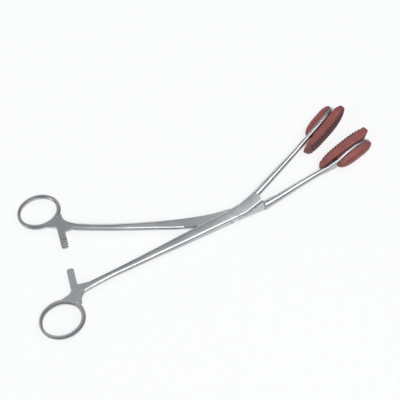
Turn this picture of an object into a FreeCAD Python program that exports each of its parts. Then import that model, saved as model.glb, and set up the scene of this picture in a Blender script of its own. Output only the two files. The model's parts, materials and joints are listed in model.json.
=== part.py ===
import FreeCAD, Part
import math
import os

import Sketcher
from FreeCAD import Placement, Rotation, Vector

# A ring-handled forceps with a box lock and two ribbed rubber jaw pads.
# Every piece is drawn open, as it lies at rest. In the drawing +X runs along the middle
# line between the two handles towards the jaws, +Z runs along the lock pin, and Z = 0 is
# the middle plane of the arms. At the end one shared move puts the origin under the
# middle of the whole.

PARTS = "parts"
doc = FreeCAD.newDocument("forceps")

# Driving sizes, in millimetres and degrees.

SIZES = {
    "corner_flats": 4,
    "pivot_x": 4.6,
    "pivot_y": -3.0,
    "jaw_angle_female": 32.5,
    "jaw_angle_male": 23.5,
    "jaw_midline_offset": 8.9,
    "female_jaw_reach": 0.4,
    "male_jaw_reach": -1.5,
    "lock_half_thickness": 3.8,
    "tongue_half_thickness": 1.9,
    "side_clearance": 0.3,
    "box_end_radius": 21.2,
    "hub_clearance_radius": 7.2,
    "pin_radius": 2.2,
    "pin_running_clearance": 0.05,
    "pin_half_length": 3.72,
    "ring_x": -129.3,
    "ring_y": 41.0,
    "ring_half_length": 15.4,
    "ring_half_width": 13.35,
    "ring_hole_half_length": 13.0,
    "ring_hole_half_width": 10.5,
    "ring_hole_shift": 0.35,
    "ring_half_depth": 1.95,
    "ring_bevel": 0.85,
    "bar_x": -117.2,
    "bar_width": 4.8,
    "bar_reach": 8.5,
    "bar_root": 24.0,
    "bar_step": 16.4,
    "bar_half_thickness": 2.0,
    "rack_gap": 0.3,
    "rack_teeth": 4,
    "rack_pitch": 1.9,
    "rack_depth": 0.8,
    "window_middle_share": 0.57,
    "window_length_share": 0.603,
    "window_half_width": 3.9,
    "pad_start": 74.2,
    "pad_end": 121.7,
    "pad_half_width": 6.5,
    "pad_back": 5.95,
    "pad_back_slope": 0.062,
    "tip_slope_length": 5.5,
    "tip_slope_drop": 2.2,
    "heel_slope_length": 2.6,
    "heel_slope_drop": 2.6,
    "heel_round_length": 8.5,
    "heel_round": 4.0,
    "tip_round_length": 4.5,
    "tip_round": 1.9,
    "pad_edge": 1.5,
    "pad_crown": 4.4,
    "crown_middle_share": 0.48,
    "crown_flats": 6,
    "crown_overrun": 5.5,
    "rib_count": 16,
    "rib_depth": 0.95,
    "rib_end_margin": 2.6,
    "groove_mouth_share": 0.84,
    "neck_clearance": 0.15,
    "plug_seat": 0.15,
    "plug_height": 6.0,
    "plug_half_width": 5.1,
}

sheet = doc.addObject("Spreadsheet::Sheet", "sizes")
for row, (name, value) in enumerate(SIZES.items(), start=1):
    sheet.set("A%d" % row, name)
    sheet.set("B%d" % row, str(value))
    sheet.setAlias("B%d" % row, name)
doc.recompute()


def size(name):
    """The value of one named cell."""
    return float(sheet.get(name))


PIVOT = Vector(size("pivot_x"), size("pivot_y"), 0)
UP = Vector(0, 0, 1)

# Sections and lofts.


def spoke(angle):
    """Unit vector in the drawing plane at an angle in degrees."""
    return Vector(math.cos(math.radians(angle)), math.sin(math.radians(angle)), 0)


def rounded_section(centre, across, half_width, half_height, corner):
    """A closed outline with straight sides and corners rounded off in short flats."""
    points = []
    flats = int(size("corner_flats"))
    for wide, high, first in ((1, 1, 0), (-1, 1, 90), (-1, -1, 180), (1, -1, 270)):
        for count in range(flats + 1):
            lean = math.radians(first + 90 * count / flats)
            points.append(centre + across * (wide * (half_width - corner) + corner * math.cos(lean))
                          + UP * (high * (half_height - corner) + corner * math.sin(lean)))
    return Part.makePolygon(points + points[:1])


def swept_arm(stations):
    """A loft through stations (point, half width, half height, corner radius) along a line."""
    line = Part.BSplineCurve()
    line.interpolate([station[0] for station in stations])
    wires = []
    for point, half_width, half_height, corner in stations:
        along = line.tangent(line.parameter(point))[0]
        across = UP.cross(along)
        wires.append(rounded_section(point, across, half_width, half_height, corner))
    return Part.makeLoft(wires, True, True)


def prism(points, low, high):
    """A straight-sided block over a closed outline of plane points."""
    base = [Vector(x, y, low) for x, y in points]
    return Part.Face(Part.makePolygon(base + base[:1])).extrude(UP * (high - low))


def smooth_prism(upper, lower, low, high):
    """A block between two smooth edges, each given from left to right."""
    edges = []
    for run in (upper, lower[::-1]):
        curve = Part.BSplineCurve()
        curve.interpolate([Vector(x, y, low) for x, y in run])
        edges.append(curve.toShape())
    first, second = upper[0], lower[0]
    edges.insert(1, Part.makeLine(Vector(*upper[-1], low), Vector(*lower[-1], low)))
    edges.append(Part.makeLine(Vector(*second, low), Vector(*first, low)))
    return Part.Face(Part.Wire(edges)).extrude(UP * (high - low))


def disc(radius, low, high):
    """A round block about the lock pin."""
    return Part.makeCylinder(radius, high - low, PIVOT + UP * low)


def turned(points, angle):
    """Plane points turned about the pin by an angle in degrees."""
    c, s = math.cos(math.radians(angle)), math.sin(math.radians(angle))
    out = []
    for x, y in points:
        dx, dy = x - PIVOT.x, y - PIVOT.y
        out.append((PIVOT.x + c * dx - s * dy, PIVOT.y + s * dx + c * dy))
    return out


def jaw_point(side, along, out, z=0.0):
    """A point of one jaw: along the closing line, and out from it, away from the other jaw."""
    arm = "female" if side > 0 else "male"
    angle = size("jaw_angle_" + arm)
    reach = along + size(arm + "_jaw_reach")
    offset = -size("jaw_midline_offset") + side * out
    return PIVOT + spoke(angle) * reach + spoke(angle + 90) * offset + UP * z


# The ring end of an arm: finger ring, web and ratchet bar.
# side is -1 for the female arm below and +1 for the male arm above.


def oval(centre, half_long, half_short, z):
    """An oval face of four arcs that meet smoothly, long axis along the handle."""
    end = half_short - (half_long - half_short) * 0.55
    flank = ((half_long - end) ** 2 + half_short ** 2 - end ** 2) / (2 * (half_short - end))
    lean = math.atan2(flank - half_short, half_long - end)
    base = Vector(centre.x, centre.y, z)

    def spot(turn_x, turn_y, lift):
        return base + Vector(turn_x * (half_long - end + end * math.cos(lift)), turn_y * end * math.sin(lift), 0)

    ne, nw, sw, se = [spot(sx, sy, lean) for sx, sy in ((1, 1), (-1, 1), (-1, -1), (1, -1))]
    edges = [Part.Arc(ne, base + Vector(0, half_short, 0), nw),
             Part.Arc(nw, base - Vector(half_long, 0, 0), sw),
             Part.Arc(sw, base - Vector(0, half_short, 0), se),
             Part.Arc(se, base + Vector(half_long, 0, 0), ne)]
    return Part.Face(Part.Wire([edge.toShape() for edge in edges]))


def finger_ring(side):
    """An oval ring, bevelled all round and a little stouter beside the shank."""
    depth = size("ring_half_depth")
    shift = size("ring_hole_shift")
    middle = Vector(size("ring_x"), side * size("ring_y"), 0)
    hole = middle + Vector(-shift, side * shift, 0)
    ring = oval(middle, size("ring_half_length"), size("ring_half_width"), -depth).extrude(UP * 2 * depth)
    cut = oval(hole, size("ring_hole_half_length"), size("ring_hole_half_width"), -depth)
    ring = ring.cut(cut.extrude(UP * 2 * depth))
    rims = [edge for edge in ring.Edges if abs(edge.CenterOfMass.z) > depth / 2]
    return ring.makeChamfer(size("ring_bevel"), rims)


def web(side):
    """The solid corner between ring, shank and ratchet bar."""
    depth = size("bar_half_thickness") - 0.15
    outline = [(-128.4, 28.4), (-124.8, 27.1), (-121.4, 25.8), (-119.6, 23.6), (-119.6, 20.6), (-114.8, 20.4),
               (-112.0, 20.7), (-107.5, 20.9), (-106.5, 24.0), (-111.0, 26.9), (-113.2, 28.9), (-114.3, 31.4),
               (-114.6, 34.4), (-118.0, 33.0), (-124.0, 30.2)]
    block = prism([(x, side * y) for x, y in outline], -depth, depth)
    rims = [edge for edge in block.Edges if abs(edge.CenterOfMass.z) > depth / 2]
    return block.makeChamfer(0.45, rims)


def ratchet_bar(side):
    """The toothed bar that points at the other handle: upper on the female arm."""
    x0 = size("bar_x") - size("bar_width") / 2
    x1 = size("bar_x") + size("bar_width") / 2
    thick = size("bar_half_thickness")
    reach, root, step = size("bar_reach"), size("bar_root"), size("bar_step")
    inner = size("rack_gap") / 2
    if side < 0:
        low, high = inner, thick
    else:
        low, high = -thick, -inner
    full = prism([(x0, side * root), (x1, side * root), (x1, side * step), (x0, side * step)], -thick, thick)
    tongue = prism([(x0, side * root), (x1, side * root), (x1, side * (reach + 1.0)), (x1 - 1.0, side * reach),
                    (x0 + 1.0, side * reach), (x0, side * (reach + 1.0))], low, high)
    bar = full.fuse(tongue)
    pitch, depth = size("rack_pitch"), size("rack_depth")
    face = low if side < 0 else high
    away = 1 if side < 0 else -1
    for tooth in range(int(size("rack_teeth"))):
        start = side * (reach + 0.7 + tooth * pitch)
        notch = Part.makePolygon([
            Vector(x0 - 1, start, face - away * 0.01),
            Vector(x0 - 1, start + side * pitch * 0.92, face - away * 0.01),
            Vector(x0 - 1, start + side * pitch * 0.80, face + away * depth),
            Vector(x0 - 1, start, face - away * 0.01)])
        bar = bar.cut(Part.Face(notch).extrude(Vector(x1 - x0 + 2, 0, 0)))
    return bar.removeSplitter()


# The jaw end of an arm: a straight arm that widens into an upright windowed loop.
# Places on the arm are shares of the way from the pin to the pad, and places on the loop
# are shares of the pad's length.

LOOP_LINE = ((0.25, 8.0), (0.449, 7.8), (0.65, 8.0), (0.791, 8.7), (0.886, 9.5), (0.935, 10.2))
LOOP_HEIGHTS = (5.3, 6.2, 6.2, 5.2, 3.4, 1.5)
LOOP_HALF_THICKNESS = 1.35
LOOP_CORNER = 1.1


def on_pad(share):
    """The place along the jaw at a share of the pad's length."""
    return size("pad_start") + share * (size("pad_end") - size("pad_start"))


def loop_stations(side):
    """Stations of the loop, thin between the jaws and wide along the pin."""
    return [(jaw_point(side, on_pad(share), out), LOOP_HALF_THICKNESS, height, LOOP_CORNER)
            for (share, out), height in zip(LOOP_LINE, LOOP_HEIGHTS)]


def loop_window(side, shrink=0.0, reach_in=-4.0, reach_out=22.0):
    """The round-ended window's space, or the rubber neck in it when shrunk."""
    half_length = size("window_length_share") * (size("pad_end") - size("pad_start")) / 2
    high = size("window_half_width") - shrink
    straight = half_length - size("window_half_width")
    middle = on_pad(size("window_middle_share"))

    def spot(along, z):
        return jaw_point(side, middle + along, reach_in, z)

    outline = Part.Wire([
        Part.makeLine(spot(-straight, high), spot(straight, high)),
        Part.Arc(spot(straight, high), spot(straight + high, 0), spot(straight, -high)).toShape(),
        Part.makeLine(spot(straight, -high), spot(-straight, -high)),
        Part.Arc(spot(-straight, -high), spot(-straight - high, 0), spot(-straight, high)).toShape()])
    return Part.Face(outline).extrude(jaw_point(side, 0, reach_out) - jaw_point(side, 0, reach_in))


def jaw_arm(side, stations):
    """The arm from the lock to the tip of the loop, with its window."""
    arm = [(jaw_point(side, share * size("pad_start"), out), half_width, half_height, corner)
           for share, out, half_width, half_height, corner in stations]
    return swept_arm(arm + loop_stations(side)).cut(loop_window(side))


FEMALE_JAW = ((0.16, 8.8, 2.8, 3.3, 1.8), (0.459, 8.65, 2.5, 2.7, 2.1), (0.78, 8.4, 2.2, 2.25, 1.9),
              (0.93, 8.4, 1.95, 2.3, 1.7), (1.041, 8.4, 1.65, 3.4, 1.4))
MALE_JAW = ((0.19, -2.5, 3.2, 3.3, 1.8), (0.33, -1.15, 2.95, 3.2, 2.2), (0.446, 0.25, 2.6, 2.8, 2.3),
            (0.655, 2.0, 2.4, 2.4, 2.1), (0.87, 4.1, 2.1, 2.25, 1.9), (0.97, 5.45, 1.8, 2.6, 1.6),
            (1.046, 6.75, 1.5, 3.7, 1.3))

# The two forgings.

FEMALE_SHANK = ((-115.5, -26.0, 2.6, 1.9, 1.6), (-105.0, -23.0, 2.6, 1.95, 1.75), (-90.0, -19.9, 2.35, 2.1, 1.9),
                (-74.0, -16.95, 2.75, 2.25, 2.05), (-60.0, -14.35, 3.1, 2.45, 2.2), (-44.0, -11.35, 3.55, 2.85, 2.3),
                (-28.0, -8.35, 3.9, 3.4, 2.2), (-12.0, -5.3, 4.05, 3.8, 1.9), (0.0, -3.0, 4.35, 3.8, 1.7),
                (10.0, -0.7, 4.8, 3.8, 1.6), (20.0, 3.75, 5.0, 3.75, 1.6), (29.0, 8.2, 5.1, 3.6, 1.6))
TONGUE_END = 2.7
MALE_SHANK = ((-115.5, 26.0, 2.6, 1.9, 1.6), (-106.0, 21.7, 2.65, 1.95, 1.75), (-96.0, 18.2, 2.45, 2.0, 1.85),
              (-82.0, 13.85, 2.55, 2.1, 1.95), (-66.0, 9.5, 2.95, 2.15, 2.0), (-50.0, 5.55, 3.35, 2.1, 1.9),
              (-38.0, 2.6, 3.75, 1.9, 1.5), (-26.0, 0.2, 3.7, 1.88, 0.9))
TONGUE_TIP = size("pivot_x") + size("box_end_radius") + TONGUE_END
TONGUE_UPPER = ((-34.0, 5.0), (-22.0, 3.3), (-10.0, 2.3), (0.0, 2.4), (10.0, 2.6), (20.0, 1.9), (TONGUE_TIP, 1.2))
TONGUE_LOWER = ((-34.0, -1.6), (-22.0, -4.2), (-10.0, -5.6), (0.0, -6.0), (10.0, -5.9), (20.0, -4.8),
                (TONGUE_TIP, -3.6))
CLOSING = 6.3


def arm_line(points):
    """Stations of a shank from plain numbers."""
    return [(Vector(x, y, 0), half_width, half_height, corner) for x, y, half_width, half_height, corner in points]


def tongue_slot():
    """The space that the tongue passes through, over its whole travel."""
    half = size("tongue_half_thickness") + size("side_clearance")
    gap = size("side_clearance")
    floor = [(x, y - gap) for x, y in turned(TONGUE_LOWER[:4], CLOSING)]
    roof = [(x, y + gap) for x, y in turned(TONGUE_UPPER[3:], CLOSING)]
    left = [(-62.0, 14.0), (-62.0, floor[0][1] + 3.5), (-44.0, floor[0][1] + 0.9)] + floor
    left += [(PIVOT.x, floor[-1][1]), (PIVOT.x, 14.0)]
    right = [(PIVOT.x, -16.0), (PIVOT.x, roof[0][1])] + roof + [(40.0, roof[-1][1] + 1.0), (40.0, -16.0)]
    slot = prism(left, -half, half).fuse(prism(right, -half, half))
    return slot.fuse(disc(size("hub_clearance_radius"), -half, half))


def female_blank():
    """Shank, box and jaw arm of the female arm, before its hole is bored."""
    end = size("box_end_radius")
    shank = swept_arm(arm_line(FEMALE_SHANK))
    beyond = prism([(PIVOT.x + 12, -20), (60, -20), (60, 40), (PIVOT.x + 12, 40)], -8, 8).cut(disc(end, -9, 9))
    box = shank.cut(beyond)
    body = box.fuse(jaw_arm(1, FEMALE_JAW))
    body = body.cut(tongue_slot())
    side = -1
    return body.fuse([finger_ring(side), web(side), ratchet_bar(side)])


def male_blank():
    """Shank, tongue and jaw arm of the male arm, before its hole is bored."""
    half = size("tongue_half_thickness")
    shoulder = size("box_end_radius") + size("side_clearance")
    tongue = smooth_prism(TONGUE_UPPER, TONGUE_LOWER, -half, half)
    jaw = jaw_arm(-1, MALE_JAW).cut(disc(shoulder, -9, 9))
    shank = swept_arm(arm_line(MALE_SHANK))
    side = 1
    return tongue.fuse([jaw, shank, finger_ring(side), web(side), ratchet_bar(side)])


def bored(label, blank, extra):
    """Cut the pin hole through a forging with a bound cylinder."""
    forging = doc.addObject("Part::Feature", label + "_forging")
    forging.Shape = blank
    hole = doc.addObject("Part::Cylinder", label + "_hole")
    hole.setExpression("Radius", "sizes.pin_radius + %s" % extra)
    hole.setExpression("Height", "4 * sizes.lock_half_thickness")
    hole.setExpression("Placement.Base.x", "sizes.pivot_x")
    hole.setExpression("Placement.Base.y", "sizes.pivot_y")
    hole.setExpression("Placement.Base.z", "-2 * sizes.lock_half_thickness")
    cut = doc.addObject("Part::Cut", label)
    cut.Base = forging
    cut.Tool = hole
    cut.Label = label
    return cut


# The rubber pads.


def crown(along):
    """How far the ribbed face stands out from its long edges."""
    half_length = (size("pad_end") - size("pad_start")) / 2 + size("crown_overrun")
    reach = abs(along - on_pad(size("crown_middle_share"))) / half_length
    return size("pad_crown") * (1 - reach ** 3)


def pad_back(along):
    """How far out the flat back lies: it leans outwards, and slopes in again at the tip."""
    tip = max(0.0, 1 - (size("pad_end") - along) / size("tip_slope_length"))
    return size("pad_back") + size("pad_back_slope") * (along - on_pad(0.5)) - size("tip_slope_drop") * tip


def domed_outline(side, along, half_width, foot, edge, top):
    """A closed outline across the jaw: a flat foot, two straight sides and a domed top in flats."""
    rise = max(abs(top - edge), 0.2)
    radius = (half_width * half_width + rise * rise) / (2 * rise)
    swing = math.asin(min(1.0, half_width / radius))
    if rise > radius:
        swing = math.pi - swing
    flats = int(size("crown_flats"))
    way = 1 if top > edge else -1
    dome = []
    for count in range(flats + 1):
        lean = swing * (1 - 2 * count / flats)
        out = edge + way * (rise - radius + radius * math.cos(lean))
        dome.append(jaw_point(side, along, out, radius * math.sin(lean)))
    corners = [jaw_point(side, along, foot, -half_width), jaw_point(side, along, foot, half_width)]
    return Part.makePolygon(corners + dome + corners[:1])


def narrowing(along):
    """How much narrower the cushion is towards its rounded heel and tip."""
    heel = max(0.0, 1 - (along - size("pad_start")) / size("heel_round_length"))
    tip = max(0.0, 1 - (size("pad_end") - along) / size("tip_round_length"))
    return size("heel_round") * heel ** 2 + size("tip_round") * tip ** 2


def cushion_stations():
    """Places along the pad, with how much lower its edges and its crown are there."""
    start, end = size("pad_start"), size("pad_end")
    margin, count = size("rib_end_margin"), int(size("rib_count"))
    pitch = (end - start - 2 * margin) / count
    mouth = pitch * size("groove_mouth_share") / 2
    depth = size("rib_depth")
    heel, tip = size("heel_slope_drop"), size("tip_slope_drop") / 2
    places = [(start, 0.3 * heel, heel), (start + size("heel_slope_length"), 0, 0)]
    for number in range(count):
        groove = start + margin + pitch * (number + 0.5)
        places += [(groove - mouth, 0, 0), (groove, depth, depth), (groove + mouth, 0, 0)]
    return places + [(end - 1.1, 0, 0), (end, 0.3 * tip, tip)]


def pad_block(side):
    """The ribbed cushion in front of the loop, trimmed flat at its two sides."""
    wide, edge = size("pad_half_width"), size("pad_edge")
    wires = []
    for along, edge_drop, crown_drop in cushion_stations():
        half_width = wide + 0.4 - narrowing(along)
        top = edge + crown_drop - crown(along)
        wires.append(domed_outline(side, along, half_width, pad_back(along), edge + edge_drop, top))
    block = Part.makeLoft(wires, True, True)
    room = Part.makeBox(400, 400, 2 * wide, Vector(-200, -200, -wide))
    return block.common(room)


PLUG_LINE = ((0.255, 0.22, 0.5), (0.301, 0.66, 0.8), (0.411, 0.93, 0.97), (0.605, 1.0, 1.0),
             (0.766, 0.93, 0.93), (0.867, 0.68, 0.72), (0.922, 0.22, 0.42))


def loop_out(share):
    """How far out the middle of the loop lies, at a share of the pad's length."""
    for (first, low), (last, high) in zip(LOOP_LINE, LOOP_LINE[1:]):
        if share <= last:
            return low + (high - low) * (share - first) / (last - first)
    return LOOP_LINE[-1][1]


def pad_plug(side):
    """The domed back behind the loop."""
    wires = []
    for share, high_share, wide_share in PLUG_LINE:
        tall = size("plug_height") * high_share
        foot = loop_out(share) + LOOP_HALF_THICKNESS + size("plug_seat")
        wires.append(domed_outline(side, on_pad(share), size("plug_half_width") * wide_share,
                                   foot, foot + tall * 0.3, foot + tall))
    return Part.makeLoft(wires, True, True)


def jaw_pad(side, label):
    """One rubber pad: ribbed cushion, neck through the window and domed back."""
    neck = loop_window(side, size("neck_clearance"), size("pad_back") - 1.2, 10.5)
    pad = doc.addObject("Part::Feature", label)
    pad.Shape = pad_block(side).fuse([neck, pad_plug(side)]).removeSplitter()
    pad.Label = label
    return pad


# The lock pin, turned and ground flush.


def lock_pin():
    """A plain pin with a light chamfer at each end."""
    body = doc.addObject("PartDesign::Body", "lock_pin")
    profile = body.newObject("Sketcher::SketchObject", "pin_section")
    plane = [item for item in body.Origin.OriginFeatures if item.Role == "XY_Plane"][0]
    profile.AttachmentSupport = (plane, [""])
    profile.MapMode = "FlatFace"
    profile.addGeometry(Part.Circle(Vector(0, 0, 0), UP, size("pin_radius")), False)
    profile.addConstraint(Sketcher.Constraint("Coincident", 0, 3, -1, 1))
    profile.addConstraint(Sketcher.Constraint("Radius", 0, size("pin_radius")))
    profile.setExpression("Constraints[1]", "sizes.pin_radius")
    shaft = body.newObject("PartDesign::Pad", "pin_shaft")
    shaft.Profile = profile
    shaft.SideType = "Symmetric"
    shaft.setExpression("Length", "2 * sizes.pin_half_length")
    doc.recompute()
    rims = ["Edge%d" % (n + 1) for n, edge in enumerate(shaft.Shape.Edges) if edge.isClosed()]
    bevel = body.newObject("PartDesign::Chamfer", "pin_bevel")
    bevel.Base = (shaft, rims)
    bevel.Size = 0.15
    body.Tip = bevel
    body.Label = "lock_pin"
    return body


# Build, place and export.

nodes = {
    "female_arm": bored("female_arm", female_blank(), "0"),
    "male_arm": bored("male_arm", male_blank(), "sizes.pin_running_clearance"),
    "lock_pin": lock_pin(),
    "female_jaw_pad": jaw_pad(1, "female_jaw_pad"),
    "male_jaw_pad": jaw_pad(-1, "male_jaw_pad"),
}
doc.recompute()

spread = FreeCAD.BoundBox()
for label, node in nodes.items():
    if label != "lock_pin":
        spread.add(node.Shape.optimalBoundingBox(False))
shift = Vector(-(spread.XMin + spread.XMax) / 2, -(spread.YMin + spread.YMax) / 2, -spread.ZMin)
for label, node in nodes.items():
    local = PIVOT if label == "lock_pin" else Vector(0, 0, 0)
    node.Placement = Placement(shift + local, Rotation())
doc.recompute()

for item in doc.Objects:
    if "Invalid" in item.State or "Error" in item.State:
        raise RuntimeError("%s did not build: %s" % (item.Label, item.State))
os.makedirs(PARTS, exist_ok=True)
print("shift", shift, "spread", spread)
for label, node in nodes.items():
    shape = node.Shape
    if shape.isNull() or not shape.isValid() or not shape.Solids:
        raise RuntimeError("%s is not a sound solid" % label)
    shape.exportStep(os.path.join(PARTS, label + ".step"))
    print(label, "solids", len(shape.Solids), "faces", len(shape.Faces), "volume", round(shape.Volume, 1))
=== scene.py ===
"""Dress a ring-handled uterine forceps: satin steel arms, ribbed rubber pads, a plain studio."""

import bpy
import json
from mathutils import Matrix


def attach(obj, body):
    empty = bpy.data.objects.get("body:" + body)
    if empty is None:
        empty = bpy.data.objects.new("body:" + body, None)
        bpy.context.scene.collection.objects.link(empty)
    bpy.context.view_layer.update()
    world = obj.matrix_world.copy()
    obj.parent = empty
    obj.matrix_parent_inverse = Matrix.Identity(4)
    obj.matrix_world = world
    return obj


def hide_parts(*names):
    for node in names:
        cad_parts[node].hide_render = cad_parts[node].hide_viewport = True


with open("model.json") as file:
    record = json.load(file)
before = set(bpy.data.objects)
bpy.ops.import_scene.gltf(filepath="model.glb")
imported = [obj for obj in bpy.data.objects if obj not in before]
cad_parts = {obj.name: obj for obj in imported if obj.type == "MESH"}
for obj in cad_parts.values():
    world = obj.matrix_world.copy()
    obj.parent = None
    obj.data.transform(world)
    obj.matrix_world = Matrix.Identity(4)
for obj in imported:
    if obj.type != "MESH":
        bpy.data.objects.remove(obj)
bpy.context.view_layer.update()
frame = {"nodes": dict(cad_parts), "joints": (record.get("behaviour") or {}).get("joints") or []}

import json
import logging
import math
from dataclasses import dataclass, field
from enum import Enum

import bmesh
import bpy
from mathutils import Vector

LOG = logging.getLogger("forceps")
MM = 0.001
# name of the per-point mask that says where painted shade darkens the pads' toothed faces and grooves
PAINTED_SHADE_MASK = "painted_groove_shade"

Colour = tuple[float, float, float, float]
Outline = list[Vector]


class Side(Enum):
    """The two arms; the value says on which side of the closing line the arm lies."""

    FEMALE = 1
    MALE = -1

    @property
    def word(self) -> str:
        """The arm's name as the nodes and bodies spell it."""
        return self.name.lower()


JAW_PLACES: dict[Side, tuple[float, float]] = {Side.FEMALE: (32.5, 0.4 * MM), Side.MALE: (23.5, -1.5 * MM)}


class NodeSheet:
    """A material's or world's node tree with short calls for adding and joining nodes."""

    def __init__(self, tree: bpy.types.NodeTree) -> None:
        """Start from an empty tree.

        Args:
            tree: the node tree to fill.
        """
        self.tree = tree
        self.tree.nodes.clear()

    def add(self, kind: str, **values: object) -> bpy.types.Node:
        """Add one node.

        Args:
            kind: the node's type without its leading "ShaderNode".
            values: properties of the node, or its inputs by name with spaces as underscores.

        Returns:
            The new node.
        """
        node = self.tree.nodes.new("ShaderNode" + kind)
        for name, value in values.items():
            label = name.replace("_", " ")
            if hasattr(node, name):
                setattr(node, name, value)
            else:
                node.inputs[label].default_value = value
        return node

    def join(self, source: bpy.types.NodeSocket, target: bpy.types.NodeSocket) -> None:
        """Link an output to an input."""
        self.tree.links.new(source, target)

    def ramp(self, source: bpy.types.NodeSocket, low: Colour, high: Colour,
             start: float = 0.0, end: float = 1.0,
             between: tuple[tuple[float, Colour], ...] = ()) -> bpy.types.Node:
        """Turn a grey value into a blend of two colours.

        Args:
            source: the grey value.
            low: colour at and below start.
            high: colour at and above end.
            start: place of the low stop.
            end: place of the high stop.
            between: further stops, each a place and a colour.

        Returns:
            The colour ramp node.
        """
        node = self.add("ValToRGB")
        first, last = node.color_ramp.elements
        first.position, first.color = start, low
        last.position, last.color = end, high
        for place, colour in between:
            node.color_ramp.elements.new(place).color = colour
        self.join(source, node.inputs["Fac"])
        return node

    def blend(self, share: bpy.types.NodeSocket, base: bpy.types.NodeSocket, over: Colour) -> bpy.types.Node:
        """Lay a plain colour over another by a grey share from 0 to 1."""
        node = self.add("MixRGB")
        self.join(share, node.inputs["Fac"])
        self.join(base, node.inputs["Color1"])
        node.inputs["Color2"].default_value = over
        return node

    def span(self, source: bpy.types.NodeSocket, low: float, high: float) -> bpy.types.Node:
        """Map a grey value from 0..1 to low..high."""
        node = self.add("MapRange")
        node.inputs["To Min"].default_value = low
        node.inputs["To Max"].default_value = high
        self.join(source, node.inputs["Value"])
        return node


def grey(level: float) -> Colour:
    """An opaque neutral colour."""
    return (level, level, level, 1.0)


@dataclass(frozen=True)
class SteelFinish:
    """Satin instrument steel: fine lengthwise polishing marks over soft cloudy variation."""

    name: str = "satin_steel"
    dark: Colour = (0.42, 0.44, 0.45, 1.0)
    light: Colour = (0.54, 0.56, 0.57, 1.0)
    smooth: float = 0.24
    rough: float = 0.36
    mark_stretch: tuple[float, float, float] = (60.0, 900.0, 900.0)
    cloud_scale: float = 45.0
    cloud_stops: tuple[float, float] = (0.35, 0.65)
    mark_strength: float = 0.05
    mark_height: float = 0.00002

    def build(self) -> bpy.types.Material:
        """Make the material.

        Returns:
            The finished material.
        """
        material = bpy.data.materials.new(self.name)
        material.use_nodes = True
        sheet = NodeSheet(material.node_tree)
        place = sheet.add("TexCoord")
        stretch = sheet.add("Mapping")
        stretch.inputs["Scale"].default_value = self.mark_stretch
        sheet.join(place.outputs["Object"], stretch.inputs["Vector"])
        marks = sheet.add("TexNoise", Scale=1.0, Detail=5.0, Roughness=0.6)
        sheet.join(stretch.outputs["Vector"], marks.inputs["Vector"])
        clouds = sheet.add("TexNoise", Scale=self.cloud_scale, Detail=3.0, Roughness=0.5)
        sheet.join(place.outputs["Object"], clouds.inputs["Vector"])
        tone = sheet.ramp(clouds.outputs["Fac"], self.dark, self.light, *self.cloud_stops)
        sheen = sheet.span(marks.outputs["Fac"], self.smooth, self.rough)
        bump = sheet.add("Bump", Strength=self.mark_strength, Distance=self.mark_height)
        sheet.join(marks.outputs["Fac"], bump.inputs["Height"])
        shader = sheet.add("BsdfPrincipled", Metallic=1.0)
        sheet.join(tone.outputs["Color"], shader.inputs["Base Color"])
        sheet.join(sheen.outputs["Result"], shader.inputs["Roughness"])
        sheet.join(bump.outputs["Normal"], shader.inputs["Normal"])
        output = sheet.add("OutputMaterial")
        sheet.join(shader.outputs["BSDF"], output.inputs["Surface"])
        return material


@dataclass(frozen=True)
class RubberFinish:
    """Brick-red moulded rubber: a dull bloom, a faint grain, and painted shade on the toothed face, darkest
    in the groove bottoms.
    """

    name: str = "red_rubber"
    dark: Colour = (0.200, 0.046, 0.040, 1.0)
    light: Colour = (0.285, 0.072, 0.062, 1.0)
    # painted shade: dark colour laid over the toothed face and deepest in the grooves, standing in for their
    # shadow
    painted_shade: Colour = (0.050, 0.020, 0.018, 1.0)
    dust: Colour = (0.32, 0.15, 0.14, 1.0)
    smooth: float = 0.36
    rough: float = 0.56
    bloom_scale: float = 160.0
    bloom_stops: tuple[float, float] = (0.3, 0.7)
    speck_scale: float = 650.0
    speck_stops: tuple[float, float] = (0.52, 0.75)
    speck_share: float = 0.28
    grain_scale: float = 2600.0
    grain_strength: float = 0.12
    grain_height: float = 0.00004
    ior: float = 1.5
    shade_mask_name: str = PAINTED_SHADE_MASK

    def build(self) -> bpy.types.Material:
        """Make the material.

        Returns:
            The finished material.
        """
        material = bpy.data.materials.new(self.name)
        material.use_nodes = True
        sheet = NodeSheet(material.node_tree)
        place = sheet.add("TexCoord")
        bloom = sheet.add("TexNoise", Scale=self.bloom_scale, Detail=4.0, Roughness=0.55)
        grain = sheet.add("TexNoise", Scale=self.grain_scale, Detail=2.0, Roughness=0.5)
        specks = sheet.add("TexNoise", Scale=self.speck_scale, Detail=3.0, Roughness=0.6)
        for texture in (bloom, grain, specks):
            sheet.join(place.outputs["Object"], texture.inputs["Vector"])
        tone = sheet.ramp(bloom.outputs["Fac"], self.dark, self.light, *self.bloom_stops)
        dusting = sheet.ramp(specks.outputs["Fac"], grey(0.0), grey(self.speck_share), *self.speck_stops)
        dusty = sheet.blend(dusting.outputs["Color"], tone.outputs["Color"], self.dust)
        # lay the painted shade over the toothed face and groove bottoms, by the per-point mask
        mask = sheet.add("Attribute", attribute_name=self.shade_mask_name)
        shaded = sheet.blend(mask.outputs["Fac"], dusty.outputs["Color"], self.painted_shade)
        sheen = sheet.span(bloom.outputs["Fac"], self.smooth, self.rough)
        bump = sheet.add("Bump", Strength=self.grain_strength, Distance=self.grain_height)
        sheet.join(grain.outputs["Fac"], bump.inputs["Height"])
        shader = sheet.add("BsdfPrincipled")
        shader.inputs["IOR"].default_value = self.ior
        sheet.join(shaded.outputs["Color"], shader.inputs["Base Color"])
        sheet.join(sheen.outputs["Result"], shader.inputs["Roughness"])
        sheet.join(bump.outputs["Normal"], shader.inputs["Normal"])
        output = sheet.add("OutputMaterial")
        sheet.join(shader.outputs["BSDF"], output.inputs["Surface"])
        return material


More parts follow.
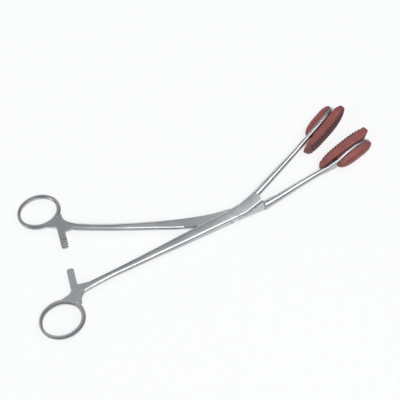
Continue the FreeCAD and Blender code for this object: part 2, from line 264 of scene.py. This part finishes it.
@dataclass(frozen=True)
class FloorFinish:
    """A white table top that shows bright to the eye and in the steel, and keeps a soft shadow."""

    name: str = "white_floor"
    low: Colour = (0.84, 0.84, 0.845, 1.0)
    high: Colour = (0.87, 0.87, 0.875, 1.0)
    bright: Colour = (1.0, 1.0, 1.0, 1.0)
    bright_share: float = 0.80
    cloud_scale: float = 3.0
    roughness: float = 0.9

    def build(self) -> bpy.types.Material:
        """Make the material.

        Returns:
            The finished material.
        """
        material = bpy.data.materials.new(self.name)
        material.use_nodes = True
        sheet = NodeSheet(material.node_tree)
        place = sheet.add("TexCoord")
        clouds = sheet.add("TexNoise", Scale=self.cloud_scale, Detail=2.0)
        sheet.join(place.outputs["Object"], clouds.inputs["Vector"])
        tone = sheet.ramp(clouds.outputs["Fac"], self.low, self.high)
        matt = sheet.add("BsdfDiffuse", Roughness=self.roughness)
        sheet.join(tone.outputs["Color"], matt.inputs["Color"])
        glow = sheet.add("Emission", Color=self.bright, Strength=1.0)
        path = sheet.add("LightPath")
        either = sheet.add("Math", operation="MAXIMUM")
        sheet.join(path.outputs["Is Camera Ray"], either.inputs[0])
        sheet.join(path.outputs["Is Glossy Ray"], either.inputs[1])
        seen = sheet.add("Math", operation="MAXIMUM")
        sheet.join(either.outputs["Value"], seen.inputs[0])
        sheet.join(path.outputs["Is Transmission Ray"], seen.inputs[1])
        share = sheet.span(seen.outputs["Value"], 0.0, self.bright_share)
        both = sheet.add("MixShader")
        sheet.join(share.outputs["Result"], both.inputs["Fac"])
        sheet.join(matt.outputs["BSDF"], both.inputs[1])
        sheet.join(glow.outputs["Emission"], both.inputs[2])
        output = sheet.add("OutputMaterial")
        sheet.join(both.outputs["Shader"], output.inputs["Surface"])
        return material


@dataclass
class SteelPiece:
    """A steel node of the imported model, kept as it is and given even shading and its finish."""

    node: str
    material: bpy.types.Material
    crease: float = math.radians(34)
    level_weight: int = 100
    weld_distance: float = 0.002 * MM

    def dress(self) -> bpy.types.Object:
        """Weld the facets, keep the edges crisp and the flats level, and lay the finish on.

        Returns:
            The node's object.
        """
        piece = frame["nodes"][self.node]
        weld = piece.modifiers.new("weld", "WELD")
        weld.merge_threshold = self.weld_distance
        crisp = piece.modifiers.new("crisp", "EDGE_SPLIT")
        crisp.split_angle = self.crease
        level = piece.modifiers.new("level", "WEIGHTED_NORMAL")
        level.weight = self.level_weight
        piece.data.polygons.foreach_set("use_smooth", [True] * len(piece.data.polygons))
        piece.data.materials.clear()
        piece.data.materials.append(self.material)
        return piece


@dataclass
class FlushPin:
    """The lock pin as it looks: spread into its countersinks and ground level with the cheeks."""

    centre: Vector
    material: bpy.types.Material
    radius: float = 2.36 * MM
    half_length: float = 3.803 * MM
    rim: float = 0.03 * MM
    crease: float = math.radians(30)
    facets: int = 96

    def build(self) -> bpy.types.Object:
        """Turn the pin and let it stand for its plain solid.

        Returns:
            The pin's object.
        """
        face, wall = self.radius - self.rim, self.half_length - self.rim
        profile = ((face, -self.half_length), (self.radius, -wall),
                   (self.radius, wall), (face, self.half_length))
        mesh = bmesh.new()
        turns = [math.tau * step / self.facets for step in range(self.facets)]
        rings = [[mesh.verts.new(self.centre + Vector((radius * math.cos(turn), radius * math.sin(turn), z)))
                  for turn in turns] for radius, z in profile]
        for low, high in zip(rings, rings[1:]):
            for index in range(self.facets):
                after = (index + 1) % self.facets
                mesh.faces.new((low[index], low[after], high[after], high[index]))
        mesh.faces.new(rings[0][::-1])
        mesh.faces.new(rings[-1])
        data = bpy.data.meshes.new("flush_pin")
        mesh.to_mesh(data)
        mesh.free()
        data.shade_smooth()
        data.set_sharp_from_angle(angle=self.crease)
        data.materials.append(self.material)
        pin = bpy.data.objects.new("flush_pin", data)
        bpy.context.scene.collection.objects.link(pin)
        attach(pin, Side.FEMALE.word)
        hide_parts("lock_pin")
        return pin


@dataclass
class JawFrame:
    """Places a point by its distance along one jaw, out from the closing line, and height."""

    side: Side
    angle: float
    reach: float
    pivot: Vector
    offset: float = -8.9 * MM

    def directions(self) -> tuple[Vector, Vector]:
        """Unit vectors along the jaw and across it, in the arms' middle plane."""
        run = Vector((math.cos(self.angle), math.sin(self.angle), 0.0))
        return run, Vector((-run.y, run.x, 0.0))

    def point(self, along: float, out: float, z: float = 0.0) -> Vector:
        """A point in the row's frame.

        Args:
            along: distance from the pin along the jaw, in metres.
            out: distance from the closing line, away from the other jaw.
            z: height above the arms' middle plane.

        Returns:
            The point.
        """
        run, across = self.directions()
        sideways = self.offset + self.side.value * out
        return self.pivot + run * (along + self.reach) + across * sideways + Vector((0, 0, z))


@dataclass
class JawPad:
    """One moulded rubber pad: ribbed cushion, neck through the loop's window, domed plug."""

    jaw: JawFrame
    material: bpy.types.Material
    start: float = 74.2 * MM
    end: float = 121.7 * MM
    half_width: float = 6.5 * MM
    trimmed_width: float = 0.4 * MM
    back: float = 5.95 * MM
    back_slope: float = 0.062
    tip_length: float = 5.5 * MM
    tip_drop: float = 2.2 * MM
    edge: float = 1.5 * MM
    crown: float = 4.4 * MM
    crown_middle: float = 0.48
    crown_overrun: float = 5.5 * MM
    face_crown: float = 0.7 * MM
    setback: float = 0.8 * MM
    heel_slope: tuple[float, float] = (2.6 * MM, 2.6 * MM)
    tip_slope: tuple[float, float] = (1.1 * MM, 0.3 * MM)
    heel_round: tuple[float, float] = (8.5 * MM, 4.0 * MM)
    tip_round: tuple[float, float] = (4.5 * MM, 0.9 * MM)
    rib_count: int = 16
    rib_depth: float = 1.7 * MM
    rib_margin: float = 2.6 * MM
    mouth_share: float = 0.92
    groove_power: float = 0.75
    end_radius: float = 0.5 * MM
    end_inset: tuple[float, float] = (0.6, 0.8)
    corner: float = 0.9 * MM
    window: tuple[float, float, float] = (0.57, 0.603, 3.75 * MM)
    plug_height: float = 6.0 * MM
    plug_half_width: float = 5.1 * MM
    plug_span: tuple[float, float] = (0.24, 0.935)
    plug_rows: int = 36
    plug_flats: int = 24
    end_power: float = 2.6
    dome_power: float = 0.8
    neck_stations: tuple[float, ...] = (4.9 * MM, 7.5 * MM, 10.3 * MM)
    neck_flats: int = 12
    loop_line: tuple[tuple[float, float], ...] = ((0.25, 9.5), (0.45, 9.3), (0.65, 9.5), (0.791, 10.2),
                                                  (0.886, 11.0), (0.935, 11.7))
    steps_per_rib: int = 12
    end_steps: int = 6
    # painted shade on the toothed face: a base share everywhere on it, more with groove depth, fading out at
    # its edge
    shade_base: float = 0.34
    shade_gain: float = 0.9
    shade_edge: tuple[float, float] = (0.35 * MM, 0.3 * MM)
    crease: float = math.radians(40)

    @property
    def length(self) -> float:
        """The pad's length along the jaw."""
        return self.end - self.start

    def on_pad(self, share: float) -> float:
        """The place along the jaw at a share of the pad's length."""
        return self.start + share * self.length

    def stations(self) -> list[float]:
        """Places along the cushion, close together at its rounded ends."""
        turns = [math.pi / 2 * step / self.end_steps for step in range(self.end_steps + 1)]
        lead = [self.end_radius * (1 - math.cos(turn)) for turn in turns]
        count = self.rib_count * self.steps_per_rib
        ribbed = self.length - 2 * self.rib_margin
        heel = [self.start + value for value in lead]
        middle = [self.start + self.rib_margin + ribbed * step / count for step in range(count + 1)]
        return heel + middle + [self.end - value for value in reversed(lead)]

    def narrowing(self, along: float) -> float:
        """How much narrower the cushion is towards its rounded heel and tip."""
        heel = max(0.0, 1 - (along - self.start) / self.heel_round[0])
        tip = max(0.0, 1 - (self.end - along) / self.tip_round[0])
        return self.heel_round[1] * heel ** 2 + self.tip_round[1] * tip ** 2

    def slope(self, along: float) -> float:
        """How much lower the crown lies on the slanted ends."""
        heel = max(0.0, 1 - (along - self.start) / self.heel_slope[0])
        tip = max(0.0, 1 - (self.end - along) / self.tip_slope[0])
        return self.heel_slope[1] * heel + self.tip_slope[1] * tip

    def groove(self, along: float) -> float:
        """Depth of the grooves between the ribs at a place along the pad."""
        pitch = (self.length - 2 * self.rib_margin) / self.rib_count
        phase = (along - self.start - self.rib_margin) / pitch
        if not 0 <= phase <= self.rib_count:
            return 0.0
        near = abs(phase - math.floor(phase) - 0.5) / (self.mouth_share / 2)
        return self.rib_depth * max(0.0, 1 - near) ** self.groove_power

    def crest(self, along: float) -> float:
        """How far out the plain solid's highest line lies at a place along the pad."""
        reach = abs(along - self.on_pad(self.crown_middle)) / (self.length / 2 + self.crown_overrun)
        return self.edge - self.crown * (1 - reach ** 3) + self.slope(along)

    def outline(self, along: float) -> Outline:
        """The cushion's closed outline across the jaw.

        Args:
            along: the place along the jaw.

        Returns:
            The outline's points in order.
        """
        near_end = min(along - self.start, self.end - along)
        gap = max(0.0, self.end_radius - near_end)
        inset = self.end_radius - math.sqrt(max(0.0, self.end_radius ** 2 - gap ** 2))
        back_inset, face_inset = self.end_inset
        rise = self.face_crown
        tip = max(0.0, 1 - (self.end - along) / self.tip_length)
        foot = self.back + self.back_slope * (along - self.on_pad(0.5)) - self.tip_drop * tip
        foot -= inset * back_inset
        full = self.half_width + self.trimmed_width - self.narrowing(along) - inset
        wide = min(full, self.half_width - inset)
        radius = (full * full + rise * rise) / (2 * rise)
        swing = math.asin(min(1.0, wide / radius))
        low = self.crest(along) + self.setback + self.groove(along) + inset * face_inset + radius
        lift = low - radius * math.cos(swing)
        points = []
        for step in range(5):
            turn = math.pi / 2 * step / 4
            points.append((foot - self.corner * (1 - math.sin(turn)),
                           -wide + self.corner * (1 - math.cos(turn))))
        lower = points[:]
        for step in range(1, 8):
            points.append((foot, (-wide + self.corner) * (1 - step / 4)))
        points += [(out, -z) for out, z in reversed(lower)]
        for step in range(1, 5):
            points.append((foot - self.corner + (lift - foot + self.corner) * step / 5, wide))
        for step in range(33):
            lean = swing * (1 - step / 16)
            points.append((low - radius * math.cos(lean), radius * math.sin(lean)))
        for step in range(1, 5):
            points.append((lift + (foot - self.corner - lift) * step / 5, -wide))
        return [self.jaw.point(along, out, z) for out, z in points]

    def loop_back(self, share: float) -> float:
        """How far out the loop's outer face lies at a share of the pad's length."""
        for (first, low), (last, high) in zip(self.loop_line, self.loop_line[1:]):
            if share <= last:
                blend = (share - first) / (last - first)
                return (low + (high - low) * blend) * MM
        return self.loop_line[-1][1] * MM

    def plug_outlines(self) -> list[Outline]:
        """Closed outlines across the domed plug, from its heel to its tip."""
        rows = []
        first, last = self.plug_span
        for step in range(self.plug_rows + 1):
            run = -math.cos(math.pi * step / self.plug_rows)
            share = (first + last) / 2 + run * (last - first) / 2
            fade = max(0.0, 1 - abs(run) ** self.end_power) ** 0.5
            tall = self.plug_height * max(0.03, fade)
            wide = self.plug_half_width * max(0.05, fade ** self.dome_power)
            foot = self.loop_back(share)
            row = []
            for turn in range(self.plug_flats + 1):
                lean = math.pi * turn / self.plug_flats
                c, s = math.cos(lean), math.sin(lean)
                z = wide * math.copysign(abs(c) ** self.dome_power, c)
                row.append(self.jaw.point(self.on_pad(share), foot + tall * s ** self.dome_power, z))
            for turn in range(1, 6):
                row.append(self.jaw.point(self.on_pad(share), foot, -wide + 2 * wide * turn / 6))
            rows.append(row)
        return rows

    def neck_outlines(self) -> list[Outline]:
        """Closed outlines of the neck, from the cushion's back to the plug."""
        middle, length_share, high = self.window
        straight = length_share * self.length / 2 - high
        rows = []
        for out in self.neck_stations:
            row = []
            for centre, start in ((straight, -math.pi / 2), (-straight, math.pi / 2)):
                for step in range(self.neck_flats + 1):
                    lean = start + math.pi * step / self.neck_flats
                    along = self.on_pad(middle) + centre + high * math.cos(lean)
                    row.append(self.jaw.point(along, out, high * math.sin(lean)))
            rows.append(row)
        return rows

    def mark_painted_shade(self, data: bpy.types.Mesh) -> None:
        """Note at each point how much painted shade it gets, standing in for the shadow in the ribs: most in
        the grooves, and only on the toothed face.

        Args:
            data: the pad's mesh.
        """
        run, across = self.jaw.directions()
        edge, fade = self.shade_edge
        values = []
        for vertex in data.vertices:
            reach = vertex.co - self.jaw.pivot
            along = reach.dot(run) - self.jaw.reach
            out = (reach.dot(across) - self.jaw.offset) * self.jaw.side.value
            rim = self.crest(along) + self.setback + self.face_crown + self.groove(along)
            face = min(1.0, max(0.0, (rim + edge - out) / fade))
            depth = self.groove(along) / self.rib_depth
            values.append(face * min(1.0, self.shade_base + self.shade_gain * depth))
        layer = data.attributes.new(PAINTED_SHADE_MASK, "FLOAT", "POINT")
        layer.data.foreach_set("value", values)

    @staticmethod
    def skin(mesh: bmesh.types.BMesh, rows: list[Outline]) -> None:
        """Join closed outlines into a tube with closed ends.

        Args:
            mesh: the mesh to add to.
            rows: the outlines, all with the same number of points.
        """
        rings = [[mesh.verts.new(point) for point in row] for row in rows]
        for low, high in zip(rings, rings[1:]):
            count = len(low)
            for index in range(count):
                after = (index + 1) % count
                mesh.faces.new((low[index], low[after], high[after], high[index]))
        mesh.faces.new(rings[0][::-1])
        mesh.faces.new(rings[-1])

    def build(self) -> bpy.types.Object:
        """Make the pad, dress it and let it stand for its plain solid.

        Returns:
            The pad's object.
        """
        mesh = bmesh.new()
        self.skin(mesh, [self.outline(along) for along in self.stations()])
        self.skin(mesh, self.neck_outlines())
        self.skin(mesh, self.plug_outlines())
        bmesh.ops.recalc_face_normals(mesh, faces=mesh.faces)
        name = self.jaw.side.word + "_rubber_pad"
        data = bpy.data.meshes.new(name)
        mesh.to_mesh(data)
        mesh.free()
        self.mark_painted_shade(data)
        data.shade_smooth()
        data.set_sharp_from_angle(angle=self.crease)
        data.materials.append(self.material)
        pad = bpy.data.objects.new(name, data)
        bpy.context.scene.collection.objects.link(pad)
        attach(pad, self.jaw.side.word)
        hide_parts(self.jaw.side.word + "_jaw_pad")
        return pad


@dataclass(frozen=True)
class Softbox:
    """A square studio lamp that faces a point."""

    name: str
    place: tuple[float, float, float]
    size: float
    power: float

    def build(self, target: Vector) -> None:
        """Hang the lamp.

        Args:
            target: the point it faces.
        """
        lamp = bpy.data.lights.new(self.name, "AREA")
        lamp.shape = "SQUARE"
        lamp.size = self.size
        lamp.energy = self.power
        holder = bpy.data.objects.new(self.name, lamp)
        holder.location = self.place
        holder.rotation_euler = (target - Vector(self.place)).to_track_quat("-Z", "Y").to_euler()
        bpy.context.scene.collection.objects.link(holder)


@dataclass
class Studio:
    """Floor, lamps, surroundings and the photograph's camera."""

    eye: Vector = field(default_factory=lambda: Vector((-0.0657, -0.1857, 0.4166)))
    target: Vector = field(default_factory=lambda: Vector((-0.0047, 0.0113, 0.0065)))
    lens: float = 57.33
    sensor: float = 36.0
    floor_half: float = 20.0
    rim: Colour = (0.92, 0.93, 0.95, 1.0)
    walls: Colour = (0.17, 0.18, 0.19, 1.0)
    ceiling: Colour = (0.42, 0.43, 0.45, 1.0)
    zenith: Colour = (0.60, 0.61, 0.62, 1.0)
    lamps: tuple[Softbox, ...] = (
        Softbox("key_softbox", (0.02, -0.62, 1.05), 0.75, 6.5),
        Softbox("jaw_softbox", (0.62, 0.02, 1.15), 0.80, 5.0),
        Softbox("side_softbox", (-0.95, -0.2, 0.55), 0.5, 2.5),
        Softbox("back_softbox", (0.1, 1.1, 0.30), 0.4, 1.2),
    )

    def build_floor(self) -> None:
        """Lay the table top under the part."""
        mesh = bmesh.new()
        bmesh.ops.create_grid(mesh, x_segments=8, y_segments=8, size=self.floor_half)
        data = bpy.data.meshes.new("floor")
        mesh.to_mesh(data)
        mesh.free()
        data.materials.append(FloorFinish().build())
        floor = bpy.data.objects.new("floor", data)
        bpy.context.scene.collection.objects.link(floor)

    def build_surroundings(self) -> None:
        """Fill the room with light: a grey ceiling over dim walls with a pale foot."""
        world = bpy.data.worlds.new("studio")
        world.use_nodes = True
        sheet = NodeSheet(world.node_tree)
        place = sheet.add("TexCoord")
        split = sheet.add("SeparateXYZ")
        sheet.join(place.outputs["Generated"], split.inputs["Vector"])
        tone = sheet.ramp(split.outputs["Z"], self.rim, self.zenith, 0.04, 1.0,
                          ((0.12, self.walls), (0.55, self.walls), (0.82, self.ceiling)))
        backdrop = sheet.add("Background", Strength=1.0)
        sheet.join(tone.outputs["Color"], backdrop.inputs["Color"])
        output = sheet.add("OutputWorld")
        sheet.join(backdrop.outputs["Background"], output.inputs["Surface"])
        bpy.context.scene.world = world

    def build_camera(self) -> None:
        """Set the camera where the photograph was taken from."""
        data = bpy.data.cameras.new("photo_view")
        data.lens = self.lens
        data.sensor_width = self.sensor
        data.clip_start = 0.01
        data.clip_end = 20.0
        camera = bpy.data.objects.new("photo_view", data)
        camera.location = self.eye
        camera.rotation_euler = (self.target - self.eye).to_track_quat("-Z", "Y").to_euler()
        bpy.context.scene.collection.objects.link(camera)
        bpy.context.scene.camera = camera

    def build(self) -> None:
        """Build the whole studio."""
        self.build_floor()
        self.build_surroundings()
        for lamp in self.lamps:
            lamp.build(self.target)
        self.build_camera()
        bpy.context.scene.view_settings.view_transform = "Standard"


def main() -> None:
    """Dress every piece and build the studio."""
    logging.basicConfig(level=logging.INFO, format="%(name)s: %(message)s")
    Studio().build()
    steel = SteelFinish().build()
    for node in ("female_arm", "male_arm"):
        LOG.info("steel piece %s", SteelPiece(node, steel).dress().name)
    rubber = RubberFinish().build()
    pivot = Vector(frame["joints"][0]["pos_m"])
    LOG.info("steel pin %s", FlushPin(pivot, steel).build().name)
    for side, (angle, reach) in JAW_PLACES.items():
        jaw = JawFrame(side, math.radians(angle), reach, pivot)
        LOG.info("rubber pad %s", JawPad(jaw, rubber).build().name)


if __name__ == "__main__":
    main()
